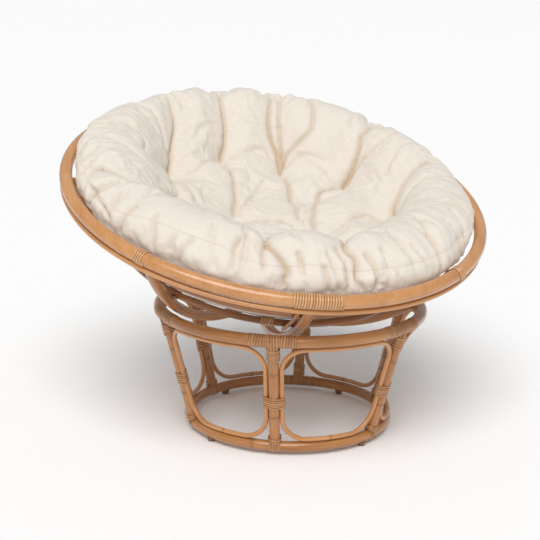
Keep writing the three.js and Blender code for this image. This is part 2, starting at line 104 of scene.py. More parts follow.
SOFTBOX_PLACE = Vector((-1.9, -2.9, 4.9))
SOFTBOX_AIM = Vector((0, 0, 0.45)) - SOFTBOX_PLACE
bpy.ops.object.light_add(type="SUN", location=SOFTBOX_PLACE)
softbox = bpy.context.object
softbox.name = "key_softbox"
softbox.data.energy = 2.3
softbox.data.angle = math.radians(44)
softbox.rotation_euler = SOFTBOX_AIM.to_track_quat("-Z", "Y").to_euler()

CAMERA_PLACE = Vector((-1.4453, -2.8462, 1.1385))
CAMERA_AIM = Vector((0.4380, 0.8688, -0.2312))
CAMERA_ROLL = 0.0209
CAMERA_LENS = 83.95
bpy.ops.object.camera_add(location=CAMERA_PLACE)
camera = bpy.context.object
camera.name = "photo_camera"
camera.rotation_euler = (
    CAMERA_AIM.to_track_quat("-Z", "Y").to_matrix() @ Matrix.Rotation(CAMERA_ROLL, 3, "Z")
).to_euler()
camera.data.lens = CAMERA_LENS
camera.data.sensor_width = 36.0
bpy.context.scene.camera = camera


# ---- Rim ----
# Two half hoops of peeled manau rattan, 33 mm thick, steamed and bent to a circle and butted
# end to end at the left and right. The poles are sanded and lacquered, with faint nodes.

BOWL_MIDDLE = Vector((0.0, -0.00175, 0.58813))
BOWL_TILT = math.radians(18.05)
BOWL_AXIS = Vector((0, -math.sin(BOWL_TILT), math.cos(BOWL_TILT)))
RIM_RADIUS = 0.533
RIM_POLE = 0.0163
RIM_JOINT = 75.0


def heading(azimuth):
    """The level direction of an azimuth in degrees."""
    return Vector((math.sin(math.radians(azimuth)), -math.cos(math.radians(azimuth)), 0))


def bowl_point(azimuth, radius, drop):
    """A point of the tilted bowl: its azimuth, its distance from the axis and below the rim."""
    flat = heading(azimuth) * radius - Vector((0, 0, drop))
    return Matrix.Rotation(BOWL_TILT, 3, "X") @ flat + BOWL_MIDDLE


def read_points(piece):
    points = np.empty(len(piece.data.vertices) * 3)
    piece.data.vertices.foreach_get("co", points)
    return points.reshape(-1, 3)


def write_points(piece, points):
    piece.data.vertices.foreach_set("co", np.asarray(points, float).ravel())
    piece.data.update()


def pick(*pieces):
    """Selects these pieces alone and makes the first one active."""
    bpy.ops.object.select_all(action="DESELECT")
    for piece in pieces:
        piece.select_set(True)
    bpy.context.view_layer.objects.active = pieces[0]


def settle(piece):
    """Puts the piece's origin at the chair's, with its place in its mesh."""
    pick(piece)
    bpy.ops.object.transform_apply(location=True, rotation=True, scale=True)


def close_up(piece):
    """Merges doubles, closes open ends and turns all faces outwards."""
    pick(piece)
    bpy.ops.object.mode_set(mode="EDIT")
    bpy.ops.mesh.select_all(action="SELECT")
    bpy.ops.mesh.remove_doubles(threshold=0.00001)
    bpy.ops.mesh.fill_holes(sides=0)
    bpy.ops.mesh.select_all(action="SELECT")
    bpy.ops.mesh.normals_make_consistent(inside=False)
    bpy.ops.object.mode_set(mode="OBJECT")


def just_made(name):
    """The object that Blender made last, under its name."""
    piece = bpy.context.object
    piece.name = piece.data.name = name
    return piece


def round_end(name, place, along, thickness, sides):
    """The round end of a pole, square to the way that it runs, with its points picked."""
    bpy.ops.mesh.primitive_circle_add(
        vertices=sides, radius=thickness, location=place,
        rotation=Vector(along).to_track_quat("Z", "Y").to_euler())
    end = just_made(name)
    bpy.ops.object.mode_set(mode="EDIT")
    bpy.ops.mesh.select_all(action="SELECT")
    return end


def spin_pole(name, start, along, thickness, middle, axis, sweep, steps, sides=20):
    """A bent pole: its round end is spun about the middle of the bend."""
    pole = round_end(name, start, along, thickness, sides)
    bpy.ops.mesh.spin(steps=steps, angle=sweep, center=middle, axis=axis)
    bpy.ops.object.mode_set(mode="OBJECT")
    settle(pole)
    close_up(pole)
    return pole


def nearest_on_line(points, line):
    """For each point the nearest stretch of the line, the distance along the line there and
    the way off it, and the distances at the line's own points."""
    steps = np.diff(line, axis=0)
    lengths = np.linalg.norm(steps, axis=1)
    runs = np.concatenate([[0], np.cumsum(lengths)])
    away = points[:, None] - line[None, :-1]
    share = np.clip((away * steps).sum(2) / lengths ** 2, 0, 1)
    offsets = away - share[..., None] * steps
    nearest = (offsets ** 2).sum(2).argmin(1)
    rows = np.arange(len(points))
    run = runs[nearest] + share[rows, nearest] * lengths[nearest]
    return nearest, run, offsets[rows, nearest], runs


def mark_points(piece, name, *values):
    """Stores a number, or the three parts of a vector, at each point for the material."""
    kind, field = ("FLOAT", "value") if len(values) == 1 else ("FLOAT_VECTOR", "vector")
    marks = piece.data.attributes.new(name, kind, "POINT")
    marks.data.foreach_set(field, np.stack(values, 1).ravel())


def mark_grain(pole, line, nodes=(), swell=0.045, node_reach=0.006):
    """Stores where each point lies along and across the pole's line, which the grain follows,
    and swells the pole a little at its nodes, given as distances along the line."""
    line = np.array([tuple(p) for p in line])
    ahead = np.diff(line, axis=0)
    ahead /= np.linalg.norm(ahead, axis=1)[:, None]
    side = np.empty_like(ahead)
    previous = np.cross(ahead[0], (0.31, 0.17, 0.93))
    for i, direction in enumerate(ahead):
        previous = previous - previous.dot(direction) * direction
        previous /= np.linalg.norm(previous)
        side[i] = previous
    points = read_points(pole)
    nearest, run, offset, _ = nearest_on_line(points, line)
    across = (offset * side[nearest]).sum(1)
    other = (offset * np.cross(ahead, side)[nearest]).sum(1)
    mark = np.zeros(len(points))
    for place in nodes:
        mark = np.maximum(mark, np.exp(-(((run - place) / node_reach) ** 2)))
    write_points(pole, points + offset * (swell * mark)[:, None])
    mark_points(pole, "grain", run, across, other)
    mark_points(pole, "node_mark", mark)


def finish_piece(piece, body, slot, material, *nodes):
    """Smooths the piece, gives it its material and sets it on its body in the nodes' place."""
    pick(piece)
    bpy.ops.object.shade_smooth_by_angle(angle=math.radians(50))
    piece.data.materials.clear()
    piece.data.materials.append(material)
    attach(piece, body)
    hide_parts(*nodes)


def stretched_noise(material, place, scale, detail, roughness=0.5, shift=(0, 0, 0)):
    """Noise that is drawn out along the grain."""
    stretched = wire(material, "Mapping", "Vector", {
        "Vector": place, "Location": shift, "Scale": scale})
    return wire(material, "TexNoise", "Fac", {
        "Vector": stretched, "Scale": 1.0, "Detail": detail, "Roughness": roughness})


def mix_values(material, share, first, second):
    return wire(material, "Mix", "Result", {"Factor": share, "A": first, "B": second},
                data_type="FLOAT")


def mix_colours(material, share, first, second):
    """Mixes two colours. A mix node's sixth and seventh inputs and second output are colours."""
    return wire(material, "Mix", 2, {"Factor": share, 6: first, 7: second}, data_type="RGBA")


def bumped(material, strength, distance, height, **normal):
    return wire(material, "Bump", "Normal", {
        "Strength": strength, "Distance": distance, "Height": height, **normal})


def rattan_pole(name, light, deep, node_tone, streak_scale=1.0):
    """Peeled rattan pole under clear lacquer: straight fibres along the pole, slow changes of
    tone, darker bands at the nodes and a soft gloss. Real vessels are 0.4 mm wide, too fine to
    show, so the streaks are drawn about 5 mm wide and 80 mm long."""
    material, shader = new_material(name)
    grain = wire(material, "Attribute", "Vector", {}, attribute_name="grain")
    streaks = stretched_noise(
        material, grain, [scale * streak_scale for scale in (13, 170, 170)], 6.0, 0.72)
    patches = stretched_noise(material, grain, (4, 22, 22), 2.0, shift=(3.1, 0, 0))
    tone = spread(material, mix_values(material, 0.5, streaks, patches), 0.35, 0.65)
    wood = mix_colours(material, tone, linear(deep), linear(light))
    node_mark = wire(material, "Attribute", "Fac", {}, attribute_name="node_mark")
    edge = wire(material, "Math", 0, {0: node_mark, 1: 3.0}, operation="POWER")
    band = wire(material, "Math", 0, {0: edge, 1: 0.8}, operation="MULTIPLY")
    feed(material, shader, {
        "Base Color": mix_colours(material, band, wood, linear(node_tone)),
        "Roughness": spread(material, streaks, 0, 1, 0.24, 0.4),
        "Normal": bumped(material, 0.35, 0.0006, streaks),
        "IOR": 1.5, "Coat Weight": 0.6, "Coat Roughness": 0.15})
    return material


def arc_points(place, start, sweep, count=97):
    """Points along an arc of azimuths, through a function that places an azimuth."""
    return [place(start + sweep * i / (count - 1)) for i in range(count)]


honey_rattan = rattan_pole("lacquered_honey_rattan", "#D39A63", "#B67A43", "#80502A")
for half, first, nodes in (("back", RIM_JOINT, (0.22, 0.61, 1.05, 1.44)),
                           ("front", RIM_JOINT + 180, (0.2, 0.57, 1.13, 1.2555, 1.5))):
    rim_half = spin_pole(
        f"rim_pole_{half}", bowl_point(first, RIM_RADIUS, 0),
        bowl_point(first + 90, 1, 0) - BOWL_MIDDLE,
        RIM_POLE, BOWL_MIDDLE, BOWL_AXIS, math.pi * 0.9998, 96, sides=24)
    mark_grain(rim_half, arc_points(lambda a: bowl_point(a, RIM_RADIUS, 0), first, 180), nodes)
    finish_piece(rim_half, "bowl", "rattan", honey_rattan, f"rim_{half}")


# ---- Thin rings of the bowl ----
# A 12 mm cane hoop under the rim, two 17 mm hoops tied inside the ribs, and a small thick
# # ring at the bottom that the ribs run into. The hoop under the rim is honey rattan like the rim;
# # the others are darker rattan, and on the small bottom ring that dark tone is painted shade under
# the bowl.

SPHERE_RISE = 0.24611
RING_SPHERE = 0.5548


def ring_reach(drop):
    """How far a ring inside the ribs lies from the bowl's axis at a drop below the rim."""
    return math.sqrt(RING_SPHERE ** 2 - (SPHERE_RISE + drop) ** 2)


# darker rattan for the inner hoops and the bottom ring; on the bottom ring its dark tone is painted
# shade
russet_rattan = rattan_pole("lacquered_russet_cane", "#A86D3C", "#7E4A26", "#522E15", 1.4)
UPPER_DROP = 0.091
LOWER_DROP = 0.154
THIN_POLE = 0.0085
for name, node, material, radius, pole, drop, nodes in (
    ("under_rim_hoop", "under_rim_ring", honey_rattan, 0.540, 0.006, 0.02306,
     (0.4, 1.1, 1.9, 2.6, 3.2)),
    ("inner_hoop_upper", "inner_ring_upper", russet_rattan, ring_reach(UPPER_DROP), THIN_POLE,
     UPPER_DROP, (0.3, 0.9, 1.6, 2.3)),
    ("inner_hoop_lower", "inner_ring_lower", russet_rattan, ring_reach(LOWER_DROP), THIN_POLE,
     LOWER_DROP, (0.5, 1.0, 1.7, 2.2)),
    # the bottom ring takes the dark russet colour as painted shade under the bowl
    ("hub_hoop", "hub_ring", russet_rattan, 0.055, 0.014, 0.32737, (0.1,)),
):
    first = 160.0
    hoop = spin_pole(
        name, bowl_point(first, radius, drop), bowl_point(first + 90, 1, 0) - BOWL_MIDDLE,
        pole, BOWL_MIDDLE - BOWL_AXIS * drop, BOWL_AXIS, 2 * math.pi, 144, sides=16)
    mark_grain(hoop, arc_points(lambda a: bowl_point(a, radius, drop), first, 360, 145), nodes)
    finish_piece(hoop, "bowl", "dark_rattan", material, node)


# ---- Ribs ----
# Eight rib ends of 26 mm rattan, bent to the bowl's round bottom, from the small bottom ring
# up to the rim's inner underside, and a thin brace cane nailed beside the front rib.

SPHERE_RADIUS = 0.57711
SPHERE_MIDDLE = BOWL_MIDDLE + BOWL_AXIS * SPHERE_RISE
RIB_POLE = 0.013
RIB_START = math.asin(0.061 / SPHERE_RADIUS)
RIB_END = math.acos(0.25211 / SPHERE_RADIUS)
RIB_AZIMUTHS = [-60 + 45 * i for i in range(8)]


def rib_point(azimuth, angle):
    """A point of a rib's line, by its angle from the lowest point of the bowl's sphere."""
    drop = SPHERE_RADIUS * math.cos(angle) - SPHERE_RISE
    return bowl_point(azimuth, SPHERE_RADIUS * math.sin(angle), drop)


amber_rattan = rattan_pole("lacquered_amber_rattan", "#BF854C", "#9A612F", "#623A1B")
for number, azimuth in enumerate(RIB_AZIMUTHS, 1):
    hinge = bowl_point(azimuth + 90, 1, 0) - BOWL_MIDDLE
    start = rib_point(azimuth, RIB_START)
    rib = spin_pole(f"rib_pole_{number}", start, rib_point(azimuth, RIB_START + 0.01) - start,
                    RIB_POLE, SPHERE_MIDDLE, hinge, RIB_END - RIB_START, 40)
    line = [rib_point(azimuth, RIB_START + (RIB_END - RIB_START) * i / 40) for i in range(41)]
    mark_grain(rib, line, (0.12 + 0.02 * number, 0.4 + 0.013 * number))
    finish_piece(rib, "bowl", "rattan", amber_rattan, f"rib_{number}")


def draw_cane(name, line, thickness, closed=False):
    """A thin cane along a line of points: a round-bevelled curve turned into a mesh."""
    curve = bpy.data.curves.new(name, "CURVE")
    curve.dimensions = "3D"
    curve.bevel_depth = thickness
    curve.bevel_resolution = 3
    curve.use_fill_caps = not closed
    spline = curve.splines.new("POLY")
    spline.points.add(len(line) - 1)
    for point, place in zip(spline.points, line):
        point.co = (*place, 1)
    spline.use_cyclic_u = closed
    cane = bpy.data.objects.new(name, curve)
    bpy.context.scene.collection.objects.link(cane)
    pick(cane)
    bpy.ops.object.convert(target="MESH")
    cane = bpy.context.object
    close_up(cane)
    return cane


BRACE_SPHERE = RING_SPHERE + 0.0138
BRACE_TOP, BRACE_FALL = 0.05, 0.118
BRACE_POLE = 0.005
brace_line = []
for i in range(25):
    share = i / 24
    drop = BRACE_TOP + BRACE_FALL * share
    reach = math.sqrt(BRACE_SPHERE ** 2 - (SPHERE_RISE + drop) ** 2)
    brace_line.append(bowl_point(-17.4 - 0.3 * share - 0.9 * share ** 2, reach, drop))
brace = draw_cane("front_brace_cane", brace_line, BRACE_POLE)
mark_grain(brace, brace_line, (0.06,))
finish_piece(brace, "bowl", "rattan", amber_rattan, "front_brace")


# ---- Cane bindings on the bowl ----
# Flat, half-round strands of cane skin, 6 mm wide, wound tightly by hand: eighteen turns
# over the splice at the front of the rim, four at each side rib, five on the lower hoop.

STRAND_WIDTH = 0.0060
STRAND_THICKNESS = 0.0032
STRAND_PITCH = 0.0062
STRAND_LIFT = 0.0008


def wind_strand(name, turns, radius, steps=32):
    """A strand wound round a straight pole along Z: a flat round section driven by a screw."""
    bpy.ops.mesh.primitive_circle_add(
        vertices=10, radius=0.5, location=(radius + STRAND_LIFT, 0, -turns * STRAND_PITCH / 2),
        rotation=(math.pi / 2, 0, 0))
    strand = just_made(name)
    strand.scale = (STRAND_THICKNESS, STRAND_WIDTH, 1)
    settle(strand)
    screw = strand.modifiers.new("winding", "SCREW")
    screw.axis = "Z"
    screw.angle = 2 * math.pi
    screw.screw_offset = STRAND_PITCH
    screw.iterations = turns
    screw.steps = screw.render_steps = steps
    bpy.ops.object.modifier_apply(modifier="winding")
    points = read_points(strand)
    angle = np.arctan2(points[:, 1], points[:, 0])
    reach = np.hypot(points[:, 0], points[:, 1])
    turn = np.round((points[:, 2] / STRAND_PITCH + turns / 2) - angle / (2 * math.pi))
    run = (turn * 2 * math.pi + angle) * radius
    across = points[:, 2] + (turns / 2 - run / (2 * math.pi * radius)) * STRAND_PITCH
    mark_points(strand, "grain", run, across, reach - radius)
    return strand


def lay(piece, place):
    """Lays a piece that was made straight along Z onto what it binds, point by point."""
    points = read_points(piece)
    write_points(piece, place(points[:, 0], points[:, 1], points[:, 2]))
    close_up(piece)


def round_bowl(azimuth, radius, drop):
    """A place function for what follows a ring of the bowl."""
    turn = np.array(Matrix.Rotation(BOWL_TILT, 3, "X"))

    def place(x, y, z):
        turned = np.radians(azimuth) + z / radius
        out = radius + x
        flat = np.stack([np.sin(turned) * out, -np.cos(turned) * out, y - drop], 1)
        return flat @ turn.T + np.array(BOWL_MIDDLE)

    return place


def off_line(material, place, axis):
    """How far a point lies off a line, from one part of its stored place."""
    part = wire(material, "SeparateXYZ", axis, {"Vector": place})
    return wire(material, "Math", 0, {0: part}, operation="ABSOLUTE")


def cane_strand(name, light, deep, shaded):
    """Split cane skin: hard, smooth and a little waxy, paler than the poles, with fine lines
    along the strand. Each turn keeps its own tone, and its edges are painted towards the shaded
    colour: painted shade in the gaps between turns. The lines are drawn about 1 mm wide."""
    material, shader = new_material(name)
    grain = wire(material, "Attribute", "Vector", {}, attribute_name="grain")
    lines = stretched_noise(material, grain, (22, 900, 60), 3.0)
    turns = stretched_noise(material, grain, (9, 20, 0), 1.0)
    tone = spread(material, mix_values(material, 0.6, lines, turns), 0.36, 0.64)
    skin = mix_colours(material, tone, linear(deep), linear(light))
    # painted shade: each turn darkens towards the shaded colour near its edges, where the gaps
    # between turns fall in shade
    edge = spread(material, off_line(material, grain, "Y"), 0.0014, 0.003, 0, 0.75)
    feed(material, shader, {
        "Base Color": mix_colours(material, edge, skin, linear(shaded)),
        "Normal": bumped(material, 0.3, 0.0004, lines),
        "Roughness": 0.28, "IOR": 1.5, "Coat Weight": 0.6, "Coat Roughness": 0.12})
    return material


# the last colour is the painted shade in the gaps between turns
pale_cane = cane_strand("waxed_cane_strand", "#DDAC79", "#B9824C", "#83522A")
for name, node, turns, azimuth, radius, pole, drop in (
    ("front_splice_strand", "front_splice_binding", 18, -15, RIM_RADIUS, RIM_POLE, 0),
    ("left_rib_strand", "left_rim_binding", 4, -60, RIM_RADIUS, RIM_POLE, 0),
    ("right_rib_strand", "right_rim_binding", 4, 30, RIM_RADIUS, RIM_POLE, 0),
    ("lower_hoop_strand", "lower_ring_binding", 5, -24.3, ring_reach(LOWER_DROP), THIN_POLE,
     LOWER_DROP),
):
    strand = wind_strand(name, turns, pole)
    lay(strand, round_bowl(azimuth, radius, drop))
    finish_piece(strand, "bowl", "cane_strand", pale_cane, node)


# ---- Rings of the stand ----
# Two rattan poles bent to full circles: the top ring, 29 mm thick, that the bowl rests on, and
# the smaller bottom ring, 26 mm thick, that stands on the glides.

STAND_AXIS = Vector((0.005, -0.08841, 0))
STAND_TURN = -34.2
TOP_RADIUS = 0.334
TOP_POLE = 0.0145
TOP_HEIGHT = 0.308
BOTTOM_RADIUS = 0.255
BOTTOM_POLE = 0.013
BOTTOM_HEIGHT = 0.022


def stand_point(azimuth, radius, height):
    return STAND_AXIS + heading(azimuth) * radius + Vector((0, 0, height))


for name, node, radius, pole, height, nodes in (
    ("top_hoop", "top_ring", TOP_RADIUS, TOP_POLE, TOP_HEIGHT, (0.22, 0.62, 1.06, 1.52, 1.98)),
    ("bottom_hoop", "bottom_ring", BOTTOM_RADIUS, BOTTOM_POLE, BOTTOM_HEIGHT, (0.3, 0.75, 1.22)),
):
    first = STAND_TURN + 180
    hoop = spin_pole(name, stand_point(first, radius, height), heading(first + 90), pole,
                     STAND_AXIS + Vector((0, 0, height)), (0, 0, 1), 2 * math.pi, 120, sides=24)
    mark_grain(hoop, arc_points(lambda a: stand_point(a, radius, height), first, 360, 121), nodes)
    finish_piece(hoop, "stand", "rattan", amber_rattan, node)


# ---- Posts ----
# Six straight 26 mm rattan posts, nailed between the two rings and leaning in to the bottom
# one. One is made and the others are turned copies with their nodes in the same place.

POST_POLE = 0.013
POST_INSET = 0.005
STAND_SLANT = math.hypot(TOP_RADIUS - BOTTOM_RADIUS, TOP_HEIGHT - BOTTOM_HEIGHT)


def post_point(rise, azimuth=STAND_TURN):
    """A point on the line of a post, by its distance from the bottom ring's middle."""
    share = rise / STAND_SLANT
    return stand_point(azimuth, BOTTOM_RADIUS + (TOP_RADIUS - BOTTOM_RADIUS) * share,
                       BOTTOM_HEIGHT + (TOP_HEIGHT - BOTTOM_HEIGHT) * share)


def raise_pole(name, foot, head, thickness, steps, sides=20):
    """A straight pole: its round foot is extruded to its head in short steps."""
    pole = round_end(name, foot, head - foot, thickness, sides)
    for _ in range(steps):
        bpy.ops.mesh.extrude_region_move(
            TRANSFORM_OT_translate={"value": (head - foot) / steps})
    bpy.ops.object.mode_set(mode="OBJECT")
    settle(pole)
    close_up(pole)
    return pole


def turn_round(piece, degrees):
    """Turns the piece's mesh about the stand's axis."""
    piece.data.transform(
        Matrix.Translation(STAND_AXIS) @ Matrix.Rotation(math.radians(degrees), 4, "Z")
        @ Matrix.Translation(-STAND_AXIS))


def round_the_stand(piece, stem, material, slot, node_stem, odd_one=None, odd_number=0):
    """Sets the first piece and its turned copies in their places, and the odd one in its own."""
    ring = [piece]
    for number in range(2, 7):
        copy = odd_one
        if number != odd_number:
            copy = piece.copy()
            copy.data = piece.data.copy()
            copy.name = copy.data.name = f"{stem}_{number}"
            bpy.context.scene.collection.objects.link(copy)
        turn_round(copy, 60 * (number - 1))
        ring.append(copy)
    for number, copy in enumerate(ring, 1):
        finish_piece(copy, "stand", slot, material, f"{node_stem}_{number}")


post_line = [post_point(POST_INSET + (STAND_SLANT - 2 * POST_INSET) * i / 12) for i in range(13)]
post = raise_pole("post_pole_1", post_line[0], post_line[-1], POST_POLE, 48)
mark_grain(post, post_line, (0.085, 0.206))
round_the_stand(post, "post_pole", amber_rattan, "rattan", "post")


# ---- Cane hoops of the stand ----
# Six hoops of 11.5 mm cane, bent to rounded rectangles that fill the panels between the posts
# and follow the stand's round skin. Their sides are tied to the posts.

HOOP_POLE = 0.00575
HOOP_CORNER = 0.060
HOOP_REACH = POST_POLE + 0.0003 + HOOP_POLE
HOOP_LOW = 0.02055
HOOP_HIGH = STAND_SLANT - 0.02205


def skin_radius(rise):
    return BOTTOM_RADIUS + (TOP_RADIUS - BOTTOM_RADIUS) * rise / STAND_SLANT


def hoop_half(rise):
    """Half the width of the panel between two posts, along the stand's skin."""
    radius = skin_radius(rise)
    return radius * (math.pi / 6 - math.asin(HOOP_REACH / radius))


def hoop_place(side, rise):
    azimuth = STAND_TURN + 30 + math.degrees(side / skin_radius(rise))
    return post_point(rise, azimuth)


def hoop_line(corner_steps=14, run_steps=12):
    """The hoop's line, anticlockwise from its right side: four corners with a run after each."""
    low, high = HOOP_LOW + HOOP_CORNER, HOOP_HIGH - HOOP_CORNER
    line = []
    for side, rise, start in ((1, high, 0), (-1, high, 90), (-1, low, 180), (1, low, 270)):
        for i in range(corner_steps + 1):
            angle = math.radians(start + 90 * i / corner_steps)
            up = rise + HOOP_CORNER * math.sin(angle)
            across = side * (hoop_half(up) - HOOP_CORNER) + HOOP_CORNER * math.cos(angle)
            line.append((across, up))
        for i in range(1, run_steps):
            share = i / run_steps
            if start in (0, 180):
                reach = hoop_half(up) - HOOP_CORNER
                line.append((side * reach * (1 - 2 * share), up))
            else:
                climb = high - (high - low) * (share if side < 0 else 1 - share)
                line.append((side * hoop_half(climb), climb))
    return [hoop_place(across, up) for across, up in line]


hoop_points = hoop_line()
cane_hoop = draw_cane("cane_hoop_1", hoop_points, HOOP_POLE, closed=True)
mark_grain(cane_hoop, hoop_points + hoop_points[:1], (0.12, 0.41, 0.66))
round_the_stand(cane_hoop, "cane_hoop", honey_rattan, "dark_rattan", "hoop")


# ---- Bindings of the stand ----
# Wound cane strands tie every joint: a T-shaped binding where a post meets the top ring, five
# turns halfway that tie two hoops to the post, and a short one at the bottom ring.

POST_LEAN = math.atan2(TOP_RADIUS - BOTTOM_RADIUS, TOP_HEIGHT - BOTTOM_HEIGHT)
STAND_MATRIX = np.array(Matrix.Rotation(math.radians(STAND_TURN), 3, "Z"))


def post_frame(across, out, rise):
    """Points beside the first post: sideways, outwards from the stand, and up along the post."""
    radius = BOTTOM_RADIUS + rise * math.sin(POST_LEAN) + out * math.cos(POST_LEAN)
    height = BOTTOM_HEIGHT + rise * math.cos(POST_LEAN) - out * math.sin(POST_LEAN)
    flat = np.stack([across, -radius, height], 1)
    return flat @ STAND_MATRIX.T + np.array(STAND_AXIS)


def round_ring(radius, height, middle):
    """A place function for what follows a ring of the stand, from a distance along it."""
    def place(x, y, z):
        turned = (z + middle) / radius
        out = radius + x
        flat = np.stack([np.sin(turned) * out, -np.cos(turned) * out, height + y], 1)
        return flat @ STAND_MATRIX.T + np.array(STAND_AXIS)

    return place


def up_post(middle):
    """A place function for what follows the first post."""
    return lambda x, y, z: post_frame(x, y, z + middle)


# how far the strands on the rings press into them, which keeps them clear of the bowl
STRAND_SUNK = 0.0010


def saddle_strand(name, across, ring_pole, ring_rise, reach, sense):
    """A strand laid over the ring and down both faces of the post, under the post's turns."""
    half = math.sqrt(max(POST_POLE ** 2 - across ** 2, 0.00003)) + STRAND_LIFT
    ring = ring_pole - STRAND_SUNK + STRAND_LIFT
    ends = [i / 8 for i in range(9)]
    over = [math.pi * i / 24 for i in range(1, 24)]
    line = [(half, sense * (reach * (1 - i) + ring * 0.9 * i)) for i in ends]
    line += [(ring * math.cos(angle), -sense * ring * math.sin(angle)) for angle in over]
    line += [(-half, sense * (ring * 0.9 * (1 - i) + reach * i)) for i in ends]
    out, up = np.array(line).T
    path = post_frame(np.full(len(line), across), out, ring_rise + up)
    strip = draw_cane(name, [Vector(p) for p in path], STRAND_WIDTH / 2)
    side = np.array(heading(STAND_TURN + 90))
    points = read_points(strip)
    nearest, _, offset, runs = nearest_on_line(points, path)
    sideways = (offset @ side)[:, None] * side
    flat = sideways + (offset - sideways) * (STRAND_THICKNESS / STRAND_WIDTH)
    write_points(strip, points - offset + flat)
    run = runs[nearest] + across * 9
    mark_points(strip, "grain", run, offset @ side, run * 0)
    return strip


def tee_binding(name, radius, height, ring_pole, ring_rise, ring_turns, post_turns, sense):
    """Turns along the ring on both sides of a post, strands over the joint, turns on the post,
    all joined to one piece. The post runs up (1) or down (-1) from the ring."""
    strands = []
    if ring_turns:
        for side in (-1, 1):
            along = side * (POST_POLE + 0.0015 + ring_turns * STRAND_PITCH / 2)
            turns = wind_strand(f"{name}_ring", ring_turns, ring_pole - STRAND_SUNK)
            lay(turns, round_ring(radius, height, along))
            strands.append(turns)
    reach = ring_pole + 0.002 + post_turns * STRAND_PITCH
    for across in (-0.0099, -0.0033, 0.0033, 0.0099):
        strands.append(
            saddle_strand(f"{name}_saddle", across, ring_pole, ring_rise, reach, sense))
    turns = wind_strand(f"{name}_post", post_turns, POST_POLE + 0.0012)
    middle = ring_rise + sense * (ring_pole + 0.003 + post_turns * STRAND_PITCH / 2)
    lay(turns, up_post(middle))
    pick(*strands, turns)
    bpy.ops.object.join()
    return just_made(name)


# the last colour is the painted shade in the gaps between turns
wax_cane = cane_strand("waxed_cane_strand_stand", "#C8945C", "#A06A3A", "#724323")
TOP_TEE = (TOP_RADIUS, TOP_HEIGHT, TOP_POLE, STAND_SLANT)
top_tee = tee_binding("top_strands_1", *TOP_TEE, 7, 5, -1)
long_tee = tee_binding("top_strands_5", *TOP_TEE, 9, 5, -1)
round_the_stand(top_tee, "top_strands", wax_cane, "cane_strand", "top_wrap", long_tee, 5)
FOOT_TEE = (BOTTOM_RADIUS, BOTTOM_HEIGHT, BOTTOM_POLE, 0)
foot_tie = tee_binding("bottom_strands_1", *FOOT_TEE, 0, 2, 1)
rear_tie = tee_binding("bottom_strands_4", *FOOT_TEE, 5, 5, 1)
round_the_stand(foot_tie, "bottom_strands", wax_cane, "cane_strand", "bottom_wrap", rear_tie, 4)

MID_HEIGHT = 0.148
MID_TURNS = 5
mid_rise = (MID_HEIGHT - BOTTOM_HEIGHT) / math.cos(POST_LEAN)
mid_radius = skin_radius(mid_rise)
hoop_sag = mid_radius - math.sqrt(mid_radius ** 2 - HOOP_REACH ** 2)
tied_poles = np.array([(0, 0, POST_POLE), (-HOOP_REACH, -hoop_sag, HOOP_POLE),
                       (HOOP_REACH, -hoop_sag, HOOP_POLE)])


def round_three(x, y, z):
    """Lays a winding round the post and the two hoops beside it."""
    angle = np.arctan2(y, x)
    rise = np.hypot(x, y) - POST_POLE
    way = np.stack([np.cos(angle), np.sin(angle)])
    middle_x, middle_y, pole = tied_poles[(tied_poles[:, :2] @ way + tied_poles[:, 2:]).argmax(0)].T
    across, out = (middle_x, middle_y) + (pole + rise) * way
    return post_frame(across, out, z + mid_rise)


mid_tie = wind_strand("mid_strands_1", MID_TURNS, POST_POLE, steps=64)
lay(mid_tie, round_three)
round_the_stand(mid_tie, "mid_strands", wax_cane, "cane_strand", "mid_binding")


# ---- Glides ----
# Four small turned wooden feet, nailed under the bottom ring and stained dark.

GLIDE_TOP = 0.011
GLIDE_BASE = 0.009
GLIDE_HEIGHT = 0.012
dark_wood = rattan_pole("stained_turned_wood", "#8A5E3C", "#5E3C22", "#4A2C17", 2.0)
for number, azimuth in enumerate((-40.8, 52.8, 153.0, -131.0), 1):
    place = stand_point(azimuth + STAND_TURN, BOTTOM_RADIUS, GLIDE_HEIGHT / 2)
    bpy.ops.mesh.primitive_cone_add(
        vertices=24, radius1=GLIDE_BASE, radius2=GLIDE_TOP, depth=GLIDE_HEIGHT, location=place)
    glide = just_made(f"turned_glide_{number}")
    settle(glide)
    rounding = glide.modifiers.new("rounded_edges", "BEVEL")
    rounding.width = 0.0018
    rounding.segments = 3
    bpy.ops.object.modifier_apply(modifier="rounded_edges")
    half_height = Vector((0, 0, GLIDE_HEIGHT / 2))
    mark_grain(glide, [place - half_height, place + half_height])
    finish_piece(glide, "stand", "glide", dark_wood, f"glide_{number}")


# ---- Cushion ----
# One round cushion of unbleached cotton canvas, loosely filled with fibre. Ten tufts draw it
# down, folds run from them over the thick roll, and a gathered seam runs round its outer side.

# distance from the middle and height above the rim's middle, from the top round to the underside
CUSHION_OUTLINE = np.array([
    (0, -44), (58.3, -43.1), (88.7, -42.2), (119, -40.5), (152, -36.1), (190, -28.2), (228, -17.6),
    (265, -9.7), (299, 10.6), (337, 45.8), (378, 74.8), (428, 88), (469, 73.9), (497, 48.4),
    (507, 24.6), (505, 5.3), (492.6, -11.8), (469.9, -49), (425.6, -90.2), (407.3, -118.6),
    (368.3, -152.1), (319.4, -176.4), (202.8, -190.1), (91.3, -195), (0, -196)]) / 1000
OUTLINE_RUNS = np.concatenate([[0], np.cumsum(np.hypot(*np.diff(CUSHION_OUTLINE, axis=0).T))])
ROLL_HEIGHT = 0.088
ROLL_LIFT = 0.008
ROLL_LEAN = 0.022
ROLL_LEAN_TURN = math.radians(-160)
ROLL_LIFT_TURN = math.radians(-20)


